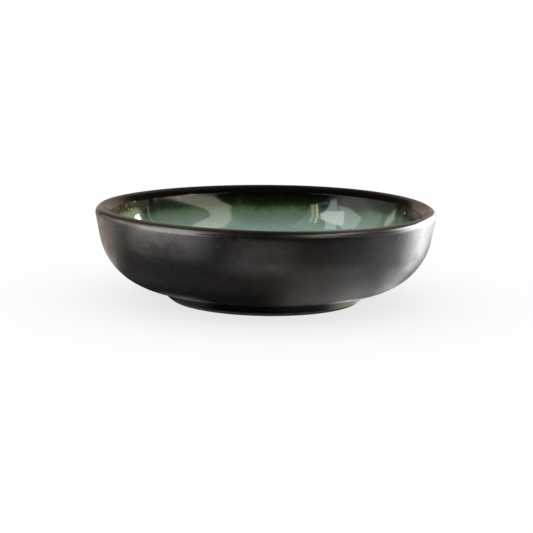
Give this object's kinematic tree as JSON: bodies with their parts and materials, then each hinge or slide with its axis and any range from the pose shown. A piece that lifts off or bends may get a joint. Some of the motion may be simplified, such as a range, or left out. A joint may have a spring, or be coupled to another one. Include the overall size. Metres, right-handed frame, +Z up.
{
  "type": "soy sauce dish",
  "caption": "Small round stoneware dish with a flared, round-cornered wall on a turned foot ring, gunmetal outside and grey-green glaze in the well, for sauces and dips.",
  "frame": {"origin": "centre of the foot ring, on the plane that the dish rests on", "axes": "+Z up, along the axis of the bowl and out of its mouth; X and Y are alike"},
  "size_m": [0.1, 0.1, 0.0275],
  "materials": {
    "clay": "bare dark stoneware, matt, fine grain",
    "gunmetal_glaze": "satin, mottled grey and brown",
    "lip_glaze": "satin, thin and brown where it breaks over the lip",
    "band_glaze": "gloss, near black, with fine pale specks",
    "well_glaze": "high gloss, deep grey-green"
  },
  "bodies": {
    "root": {"stoneware_bowl": "clay", "foot_ring": "clay", "outer_glaze": "gunmetal_glaze", "base_glaze": "gunmetal_glaze", "lip_glaze": "lip_glaze", "band_glaze": "band_glaze", "well_glaze": "well_glaze"}
  },
  "joints": []
}
